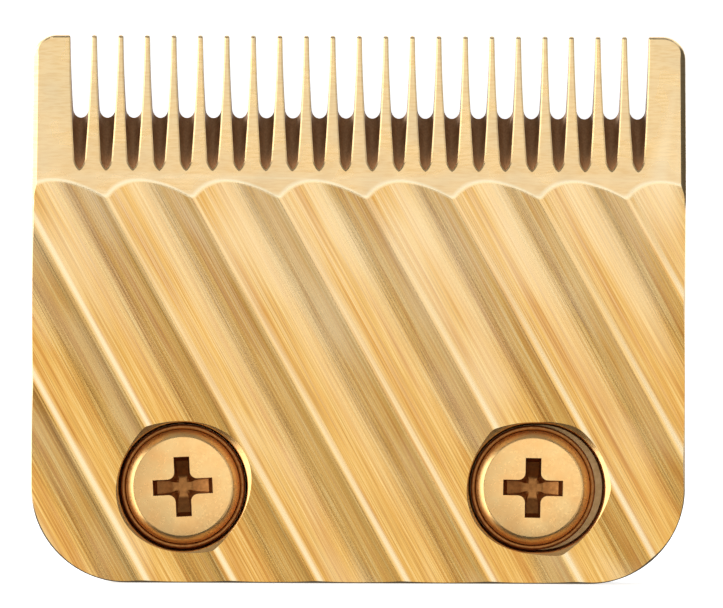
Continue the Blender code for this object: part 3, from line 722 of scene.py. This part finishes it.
def slot_edge(blade, shape):
    """The right-hand edge of a slot as (half width, z), from its root to above the tips."""
    root_z, rise, shoulder, bow, power, taper, curvature = shape
    points = []
    for i in range(SLOT_ROUND_STEPS):
        t = (i / SLOT_ROUND_STEPS) ** 2
        points.append((shoulder * (1 - (1 - t) ** bow) ** power, root_z + rise * t))
    length_above = TIP_Z - root_z - rise
    slot_half = shoulder + taper * length_above - curvature * length_above**2
    tip_half = blade.tooth_pitch / 2 - slot_half
    for i in range(SLOT_SIDE_STEPS + 1):
        above = (length_above - tip_half) * i / SLOT_SIDE_STEPS
        points.append((shoulder + taper * above - curvature * above**2, root_z + rise + above))
    # the slots flare out round each tooth's tip, which leaves the tip round
    for i in range(1, TIP_ROUND_STEPS + 1):
        turn = math.radians(TIP_ROUND_TURN) * i / TIP_ROUND_STEPS
        half = blade.tooth_pitch / 2 - tip_half * math.cos(turn)
        points.append((max(half, points[-1][0]), TIP_Z - tip_half + tip_half * math.sin(turn)))
    points.append((points[-1][0], TIP_Z + 2.0))
    return points


def slot_cutter(blade):
    """The saw's path through the teeth: a pointed root at the face, a round one at the back."""
    on_face = slot_edge(blade, SLOT_ON_FACE)
    on_back = slot_edge(blade, SLOT_ON_BACK)
    face = [Vector((x, blade.ramp_y(z), z)) for x, z in on_face]
    back = [Vector((x, BACK_Y, z)) for x, z in on_back]
    steps = []
    for t in SLOT_LAYERS:
        steps.append([a.lerp(b, t) for a, b in zip(face, back)])
    # the chamfer round the slot's mouth
    deep = [p + Vector((0, TOOTH_CHAMFER_DEPTH, 0)) for p in face]
    wide = []
    for i, p in enumerate(face):
        before, after = face[max(i - 1, 0)], face[min(i + 1, len(face) - 1)]
        along = Vector((after.x - before.x, 0, after.z - before.z)).normalized()
        out = Vector((along.z, 0, -along.x)) if i else Vector((0, 0, -1.3))
        reach = min(TOOTH_CHAMFER, 0.55 * (blade.tooth_pitch / 2 - p.x))
        wide.append(p + out * reach)
    rings = [[p + Vector((0, -1.2, 0)) for p in wide], wide, deep] + steps[1:]
    slots = [1, 1] + [0] * (len(rings) - 3)
    bm = bmesh.new()
    for k in range(blade.tooth_count + 1):
        centre = (k - blade.tooth_count / 2) * blade.tooth_pitch
        made = []
        for ring in rings:
            right = [bm.verts.new((centre + p.x, p.y, p.z)) for p in ring]
            left = [bm.verts.new((centre - p.x, p.y, p.z)) for p in reversed(ring[1:])]
            made.append(right + left)
        count = len(made[0])
        for slot, low, high in zip(slots, made, made[1:]):
            for i in range(count):
                j = (i + 1) % count
                bm.faces.new((low[i], low[j], high[j], high[i])).material_index = slot
        bm.faces.new(made[0]).material_index = 1
        bm.faces.new(made[-1])
    return bm


COUNTERBORE_MOUTH_Y = FACE_Y + 0.34
COUNTERBORE_SLOPE = 0.85
COUNTERBORE_R = 4.55
COUNTERBORE_MOUTH = 1.5  # how far the slope runs out past the walls
CLAMP_HOLE_R = 2.3
RIGHT_HOLE_STRETCH = 0.5


def counterbore_cutter(side, word):
    """The drill that makes a counterbore: its slots are the slope, the walls and the floor, the walls and
    floor in painted shade.
    """
    where = centre_mm(f"clamp_screw_{word}")
    floor_y = box_mm(f"clamp_washer_{word}")[1].y + 0.05
    stretch = RIGHT_HOLE_STRETCH if side > 0 else 0.0
    profile = [
        (COUNTERBORE_R + COUNTERBORE_MOUTH, COUNTERBORE_MOUTH_Y - COUNTERBORE_SLOPE * COUNTERBORE_MOUTH),
        (COUNTERBORE_R + 0.05, COUNTERBORE_MOUTH_Y - COUNTERBORE_SLOPE * 0.05),
        (COUNTERBORE_R, COUNTERBORE_MOUTH_Y + 0.05),
        (COUNTERBORE_R, floor_y - 0.15),
        (COUNTERBORE_R - 0.15, floor_y),
        (CLAMP_HOLE_R, floor_y),
        (CLAMP_HOLE_R, BACK_Y + 1.0),
    ]
    shape = {"stretch_x": stretch, "steps": 128}
    return turned(where.x + stretch / 2, where.z, profile, slots=[0, 0, 1, 2, 2, 1], **shape)


def crease_outline(piece, blade):
    """Merges the flat facets, and marks the finished face's outline sharp to keep its shading even."""
    bm = bmesh.new()
    bm.from_mesh(piece.data)
    bmesh.ops.dissolve_limit(
        bm, angle_limit=math.radians(0.04), verts=bm.verts, edges=bm.edges, delimit={"MATERIAL"}
    )
    on_face = [blade.on_face(face.calc_center_median() / MM) for face in bm.faces]
    bm.faces.index_update()
    for edge in bm.edges:
        if len({on_face[face.index] for face in edge.link_faces}) == 2:
            edge.smooth = False
    bm.to_mesh(piece.data)
    bm.free()


class CLIPPER_OT_stationary_blade(bpy.types.Operator):
    """Build the fluted stationary blade"""

    bl_idname = "clipper.stationary_blade"
    bl_label = "Stationary blade"

    def execute(self, context):
        settings = context.scene.clipper_blade
        blade = Blade(settings)
        ground, satin = ground_titanium_nitride(settings), satin_titanium_nitride()
        slot_and_bore_shade, blasted = slot_and_bore_shade_titanium_nitride(), blasted_titanium_nitride()
        bore_floor_shade = bore_floor_shade_titanium_nitride()
        finishes = [ground, satin, slot_and_bore_shade, blasted, bore_floor_shade]
        piece = blade_blank(blade, finishes)
        for polygon in piece.data.polygons:
            polygon.material_index = finishes.index(satin)
        cut(piece, "face", face_cutter(blade), finishes)
        cut(piece, "slots", slot_cutter(blade), [slot_and_bore_shade, satin])
        for side, word in SIDES:
            cut(piece, f"counterbore_{word}", counterbore_cutter(side, word), [blasted, slot_and_bore_shade, bore_floor_shade])
        shade(piece, 20.0)
        crease_outline(piece, blade)
        # The painted highlight, kept on each vertex of the face: paler coating along the scalloped edge and
        # beside each ridge
        painted_highlight = piece.data.attributes.new("painted_highlight", "FLOAT", "POINT")
        for vertex, value in zip(piece.data.vertices, painted_highlight.data):
            x, y, z = vertex.co / MM
            value.value = blade.painted_highlight(x, z) if y < blade.face_y(blade.across(x, z), z) + 0.02 else 0.0
        finish_piece(piece, "comb", "blade_gold", "fixed_blade")
        return {"FINISHED"}


# ---------------------------------------------------------------------------------------------
# Clamp screws
# ---------------------------------------------------------------------------------------------

WASHER_LIP = 0.12  # how far the screw's head is kept in, to clear the washer's turned-up lip
LIP_RISE = 0.72  # the lip stands this far below the screw's flat
SCREW_R = 1.95
WASHER_BORE_R = 2.15
RECESS_REACH = 2.1
RECESS_ARM = 0.55
RECESS_FILLET = 0.5
# Rings of the recess from the mouth down: depth, then its reach, arm width and fillet as shares
RECESS_SHAPE = (
    (-0.3, 1.04, 1.04, 1.0),
    (0.0, 1.0, 1.0, 1.0),
    (1.1, 0.86, 0.82, 0.7),
    (1.7, 0.4, 0.7, 0.3),
    (1.8, 0.26, 0.5, 0.1),
)
SCREW_TURNS = {"left": math.radians(3), "right": math.radians(-1)}


def cross_outline(x, z, reach, arm, fillet, turn):
    """Outline of a cross recess with round inner corners."""
    corner = arc(arm + fillet, arm + fillet, fillet, 270, 180, 6)
    quarter = [(reach, -arm), (reach, arm)] + corner
    points = []
    for k in range(4):
        spin = math.pi / 2 * k + turn
        c, s = math.cos(spin), math.sin(spin)
        points += [(x + c * a - s * b, z + s * a + c * b) for a, b in quarter]
    return points


class CLIPPER_OT_clamp_screws(bpy.types.Operator):
    """Build the two cross-recess screws that clamp the blade"""

    bl_idname = "clipper.clamp_screws"
    bl_label = "Clamp screws"

    def execute(self, context):
        finish = bpy.data.materials["titanium nitride on blasted steel"]
        recess_shade = recess_shade_titanium_nitride()
        for _, word in SIDES:
            low, high = box_mm(f"clamp_screw_{word}")
            where = (low + high) / 2
            top = low.y
            head_r = (high.x - low.x) / 2 - WASHER_LIP
            seat = box_mm(f"clamp_washer_{word}")[0].y - 0.05
            profile = [(0.02, top), (3.42, top), (3.5, top + 0.02), (3.56, top + 0.06)]
            profile += [(head_r - 0.1, top + 0.38), (head_r - 0.03, top + 0.44), (head_r, top + 0.55)]
            profile += [(head_r, seat - 0.1), (head_r - 0.1, seat), (SCREW_R, seat)]
            profile += [(SCREW_R, high.y - 0.4), (1.55, high.y)]
            screw = mesh_object(f"cross_screw_{word}", turned(where.x, where.z, profile), [finish])
            rings = []
            for depth, reach, arm, fillet in RECESS_SHAPE:
                shape = (RECESS_REACH * reach, RECESS_ARM * arm, RECESS_FILLET * fillet)
                outline = cross_outline(where.x, where.z, *shape, SCREW_TURNS[word])
                rings.append(flat_ring(outline, top + depth))
            # The recess takes the painted shade
            cut(screw, f"recess_{word}", loft(rings, slots=[1, 1, 1, 1]), [finish, recess_shade])
            shade(screw)
            finish_piece(screw, "comb", "screw_gold", f"clamp_screw_{word}")
        return {"FINISHED"}


# ---------------------------------------------------------------------------------------------
# Clamp washers
# ---------------------------------------------------------------------------------------------

class CLIPPER_OT_clamp_washers(bpy.types.Operator):
    """Build the cupped washers, whose rolled lips show round the screw heads"""

    bl_idname = "clipper.clamp_washers"
    bl_label = "Clamp washers"

    def execute(self, context):
        # The washers take the recesses' brown, the painted shade of the gap round the heads
        finish = bpy.data.materials["titanium nitride, painted shade in recesses and washers"]
        for _, word in SIDES:
            low, high = box_mm(f"clamp_washer_{word}")
            where = (low + high) / 2
            outer = (high.x - low.x) / 2
            inner = (box_mm(f"clamp_screw_{word}")[1].x - where.x) - WASHER_LIP + 0.03
            crest = box_mm(f"clamp_screw_{word}")[0].y + LIP_RISE
            middle = (inner + outer) / 2
            profile = [(WASHER_BORE_R, low.y), (inner, low.y), (inner, crest + 0.08)]
            profile += [(inner + 0.04, crest + 0.02), (middle, crest), (outer - 0.05, crest + 0.03)]
            profile += [(outer, crest + 0.12), (outer, high.y), (WASHER_BORE_R, high.y)]
            washer = mesh_object(f"cupped_washer_{word}", turned(where.x, where.z, profile, True), [finish])
            shade(washer, 50.0)
            finish_piece(washer, "comb", "screw_gold", f"clamp_washer_{word}")
        return {"FINISHED"}


# ---------------------------------------------------------------------------------------------
# Behind the blade: pieces that keep the CAD shape, and small turned pieces
# ---------------------------------------------------------------------------------------------


THREAD_PITCH = 0.45
THREAD_DEPTH = 0.14
INSERT_MOUTH_R = 1.5
INSERT_BORE_R = 1.25
RIVET_R = 0.9
RIVET_HEAD_DEPTH = 0.65
GUIDE_HEAD_DEPTH = 0.7
GUIDE_SHANK_R = 1.25
PIN_COLLAR = 0.6  # how far the taper pin's collar stands out, and how thick it is
PIN_END_ROUND = 0.35


def dress(finish, edge, *names):
    """Gives CAD nodes a finish and broken edges, whose radius is in millimetres."""
    for name in names:
        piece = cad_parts[name]
        piece.data.materials.clear()
        piece.data.materials.append(finish)
        bevel = piece.modifiers.new("edges", "BEVEL")
        bevel.width = edge * MM
        bevel.segments = 2
        bevel.limit_method = "ANGLE"
        bevel.angle_limit = math.radians(30)
        bevel.harden_normals = True
    return {"FINISHED"}


def turned_piece(name, word, profile, finish, body, slot, node_name, closed=False):
    """A finely turned piece on the centre line of the CAD node that it replaces."""
    where = centre_mm(f"{node_name}_{word}")
    piece = mesh_object(f"{name}_{word}", turned(where.x, where.z, profile, closed), [finish])
    return finish_piece(shade(piece), body, slot, f"{node_name}_{word}")


class CLIPPER_OT_carrier(bpy.types.Operator):
    """Finish the carrier plate and its clamp nuts"""

    bl_idname = "clipper.carrier"
    bl_label = "Carrier plate"

    def execute(self, context):
        return dress(plated_steel(), 0.08, "carrier_plate", "clamp_nut_left", "clamp_nut_right")


class CLIPPER_OT_base(bpy.types.Operator):
    """Finish the moulded base"""

    bl_idname = "clipper.base"
    bl_label = "Base"

    def execute(self, context):
        return dress(glass_filled_nylon(), 0.14, "head_base")


class CLIPPER_OT_inserts(bpy.types.Operator):
    """Build the threaded brass inserts"""

    bl_idname = "clipper.inserts"
    bl_label = "Threaded inserts"

    def execute(self, context):
        finish = turned_brass()
        for _, word in SIDES:
            low, high = box_mm(f"mount_insert_{word}")
            outer = (high.x - low.x) / 2
            profile = [(outer, low.y), (outer, high.y - 0.08), (outer - 0.08, high.y)]
            profile += [(INSERT_MOUTH_R, high.y)]
            turns = round((high.y - low.y - 0.4) / THREAD_PITCH)
            for i in range(turns):
                y = high.y - 0.2 - i * THREAD_PITCH
                profile += [(INSERT_BORE_R, y), (INSERT_BORE_R + THREAD_DEPTH, y - THREAD_PITCH / 2)]
            profile += [(INSERT_MOUTH_R, low.y)]
            turned_piece("threaded_insert", word, profile, finish, "base", "brass", "mount_insert", True)
        return {"FINISHED"}


class CLIPPER_OT_cutter(bpy.types.Operator):
    """Finish the moving blade"""

    bl_idname = "clipper.cutter"
    bl_label = "Moving blade"

    def execute(self, context):
        return dress(coated_cutter_steel(), 0.05, "moving_blade")


class CLIPPER_OT_yoke(bpy.types.Operator):
    """Finish the drive yoke and its rivets"""

    bl_idname = "clipper.yoke"
    bl_label = "Drive yoke"

    def execute(self, context):
        dress(bpy.data.materials["glass-filled nylon, moulded"], 0.18, "drive_yoke")
        steel = bpy.data.materials["nickel plate on stamped steel"]
        for _, word in SIDES:
            low, high = box_mm(f"yoke_rivet_{word}")
            head_r = (high.x - low.x) / 2
            seat = high.y - RIVET_HEAD_DEPTH
            profile = [(RIVET_R + 0.5, low.y), (RIVET_R, low.y + 0.6), (RIVET_R, seat), (head_r, seat)]
            dome = arc(0.0, 0.0, 1.0, 0, 84, 10)
            profile += [(head_r * c, seat + 0.1 + 0.55 * s) for c, s in dome]
            turned_piece("domed_rivet", word, profile, steel, "cutter", "plated_steel", "yoke_rivet")
        return {"FINISHED"}


class CLIPPER_OT_guide_rail(bpy.types.Operator):
    """Finish the guide rail"""

    bl_idname = "clipper.guide_rail"
    bl_label = "Guide rail"

    def execute(self, context):
        return dress(moulded_acetal(), 0.12, "guide_rail")


class CLIPPER_OT_springs(bpy.types.Operator):
    """Finish the tension springs and their screws"""

    bl_idname = "clipper.springs"
    bl_label = "Tension springs"

    def execute(self, context):
        dress(rolled_spring_steel(), 0.05, "tension_spring_left", "tension_spring_right")
        steel = bpy.data.materials["nickel plate on stamped steel"]
        return dress(steel, 0.06, "spring_screw_left", "spring_screw_right")


class CLIPPER_OT_pins(bpy.types.Operator):
    """Build the guide pins and the taper pin"""

    bl_idname = "clipper.pins"
    bl_label = "Pins"

    def execute(self, context):
        steel = bpy.data.materials["nickel plate on stamped steel"]
        for _, word in SIDES:
            low, high = box_mm(f"guide_pin_{word}")
            head_r = (high.x - low.x) / 2
            profile = [(head_r - 0.1, low.y), (head_r, low.y + 0.1), (head_r, low.y + GUIDE_HEAD_DEPTH)]
            profile += [(GUIDE_SHANK_R, low.y + GUIDE_HEAD_DEPTH), (GUIDE_SHANK_R, high.y - 0.12)]
            profile += [(GUIDE_SHANK_R - 0.12, high.y), (0.45, high.y), (0.25, high.y - 0.12)]
            turned_piece("guide_rivet", word, profile, steel, "base", "plated_steel", "guide_pin")
        low, high = box_mm("taper_pin")
        collar_r = (high.x - low.x) / 2
        shank_r = collar_r - PIN_COLLAR
        collar_y, round_y = low.y + PIN_COLLAR, high.y - PIN_END_ROUND
        profile = [(collar_r, low.y), (collar_r, collar_y), (shank_r, collar_y), (shank_r, round_y)]
        profile += arc(shank_r - PIN_END_ROUND, round_y, PIN_END_ROUND, 10, 90, 6)
        where = (low + high) / 2
        pin = mesh_object("lever_pin", turned(where.x, where.z, profile), [steel])
        finish_piece(shade(pin), "comb", "plated_steel", "taper_pin")
        return {"FINISHED"}


# ---------------------------------------------------------------------------------------------
# Stage
# ---------------------------------------------------------------------------------------------


# Each light's azimuth from the camera's side towards +X and its elevation, in degrees, its distance
# and its width and height, in metres, how bright its face is, where 1 shows as white in a perfect
# mirror, and whether it is turned to stand square to the flutes. The key and the fill are, and they
# lie side by side, so that one side of each flute is lighter.
SOFTBOXES = {
    "key": (6.3, 12.6, 0.7, (0.475, 0.79), 1.05, True),
    "fill": (-15.9, -9.1, 0.7, (0.21, 0.36), 0.8, True),
    "right wall": (52, 0, 0.6, (0.22, 0.9), 0.9, False),
    "left wall": (-86, 0, 0.6, (1.25, 0.9), 2.2, False),
    "ceiling": (0, 80, 0.6, (0.8, 0.6), 0.2, False),
    "rear left": (-140, 20, 0.6, (0.6, 0.6), 1.5, False),
    "rear": (170, 25, 0.6, (0.8, 0.6), 1.4, False),
}

# The paper backdrop, in metres: a floor that curves up into four walls, open above
WALL_SIDE = 1.2
WALL_FRONT = -1.2
WALL_BACK = 0.8
WALL_CURVE = 0.3
WALL_TOP = 1.4
FLOOR_GAP = 0.02 * MM

SENSOR_WIDTH = 36.0
AIM = Vector((0.21, 0.0, 0.35)) * MM  # what the camera looks at, from the middle of the blade's face


def softbox(name, middle, azimuth, elevation, distance, size, glow, turn):
    """A soft light that faces the middle of the blade, spun about its own axis by the turn."""
    a, e = math.radians(azimuth), math.radians(elevation)
    away = Vector((math.sin(a) * math.cos(e), -math.cos(a) * math.cos(e), math.sin(e)))
    data = bpy.data.lights.new(name, "AREA")
    data.shape = "RECTANGLE"
    data.size, data.size_y = size
    data.energy = glow * math.pi * size[0] * size[1]
    lamp = bpy.data.objects.new(name, data)
    lamp.location = middle + away * distance
    facing = away.to_track_quat("Z", "Y") @ Quaternion((0, 0, 1), turn)
    lamp.rotation_euler = facing.to_euler()
    lamp.visible_camera = False
    bpy.context.scene.collection.objects.link(lamp)
    return lamp


def backdrop_paper():
    """White paper, lit evenly enough to look white all over."""
    made, _, shader = new_material("white backdrop paper", 0.9, 0.0)
    shader.inputs["Base Color"].default_value = linear("F4F4F4")
    shader.inputs["Emission Color"].default_value = linear("FFFFFF")
    shader.inputs["Emission Strength"].default_value = 0.75
    return made


def backdrop(floor_z):
    """The paper, which the camera sees and the blade doesn't reflect."""
    rings = []
    for out, up in arc(-WALL_CURVE, WALL_CURVE, WALL_CURVE, 270, 360, 24) + [(0.0, WALL_TOP)]:
        side, front, back = WALL_SIDE + out, WALL_FRONT - out, WALL_BACK + out
        corners = [(-side, front), (side, front), (side, back), (-side, back)]
        rings.append([Vector((x, y, floor_z + up)) / MM for x, y in corners])
    bm = loft(rings)
    bmesh.ops.delete(bm, geom=bm.faces[-1:], context="FACES_ONLY")
    made = mesh_object("backdrop", bm, [backdrop_paper()])
    made.data.shade_smooth()
    made.visible_glossy = False
    made.visible_diffuse = False
    return made


class CLIPPER_OT_stage(bpy.types.Operator):
    """Set up the floor, the backdrop, the light and the camera"""

    bl_idname = "clipper.stage"
    bl_label = "Stage"

    def execute(self, context):
        scene = context.scene
        settings = scene.clipper_stage
        middle = Vector((0.0, FACE_Y, (BLADE_LOW.z + TIP_Z) / 2)) * MM
        backdrop(cad_bounds[0][2] - FLOOR_GAP)

        world = bpy.data.worlds.new("studio")
        world.use_nodes = True
        sky = world.node_tree.nodes["Background"]
        sky.inputs["Color"].default_value = linear("FFFFFF")
        sky.inputs["Strength"].default_value = 0.1
        scene.world = world

        square = scene.clipper_blade.flute_angle
        for name, (azimuth, elevation, distance, size, glow, turned_square) in SOFTBOXES.items():
            turn = square if turned_square else 0.0
            softbox(name, middle, azimuth, elevation, distance, size, glow * settings.glow, turn)

        lens = bpy.data.cameras.new("camera")
        lens.sensor_width = SENSOR_WIDTH
        lens.lens = SENSOR_WIDTH * settings.distance / settings.view_width
        lens.clip_start = 0.01
        lens.clip_end = 20.0
        camera = bpy.data.objects.new("camera", lens)
        camera.location = middle + AIM + Vector((0.0, -settings.distance, 0.0))
        camera.rotation_euler = (math.pi / 2, settings.roll, 0.0)
        scene.collection.objects.link(camera)
        scene.camera = camera
        scene.view_settings.view_transform = "Standard"
        return {"FINISHED"}


# ---------------------------------------------------------------------------------------------
# Panel and registration
# ---------------------------------------------------------------------------------------------

OPERATORS = (
    CLIPPER_OT_stage,
    CLIPPER_OT_stationary_blade,
    CLIPPER_OT_clamp_screws,
    CLIPPER_OT_clamp_washers,
    CLIPPER_OT_carrier,
    CLIPPER_OT_base,
    CLIPPER_OT_inserts,
    CLIPPER_OT_cutter,
    CLIPPER_OT_yoke,
    CLIPPER_OT_guide_rail,
    CLIPPER_OT_springs,
    CLIPPER_OT_pins,
)


class CLIPPER_PT_panel(bpy.types.Panel):
    """Lists the settings and the pieces"""

    bl_idname = "CLIPPER_PT_panel"
    bl_label = "Blade head"
    bl_space_type = "VIEW_3D"
    bl_region_type = "UI"
    bl_category = "Blade head"

    def draw(self, context):
        for group in (context.scene.clipper_blade, context.scene.clipper_stage):
            box = self.layout.box()
            for name in group.__annotations__:
                box.prop(group, name)
        for operator in OPERATORS:
            self.layout.operator(operator.bl_idname)


CLASSES = (BladeSettings, StageSettings, *OPERATORS, CLIPPER_PT_panel)


def register():
    for made in CLASSES:
        bpy.utils.register_class(made)
    bpy.types.Scene.clipper_blade = bpy.props.PointerProperty(type=BladeSettings)
    bpy.types.Scene.clipper_stage = bpy.props.PointerProperty(type=StageSettings)


def unregister():
    del bpy.types.Scene.clipper_stage
    del bpy.types.Scene.clipper_blade
    for made in reversed(CLASSES):
        bpy.utils.unregister_class(made)


def main():
    register()
    bpy.ops.clipper.stage()
    bpy.ops.clipper.stationary_blade()
    bpy.ops.clipper.clamp_screws()
    bpy.ops.clipper.clamp_washers()
    bpy.ops.clipper.carrier()
    bpy.ops.clipper.base()
    bpy.ops.clipper.inserts()
    bpy.ops.clipper.cutter()
    bpy.ops.clipper.yoke()
    bpy.ops.clipper.guide_rail()
    bpy.ops.clipper.springs()
    bpy.ops.clipper.pins()


if __name__ == "__main__":
    main()
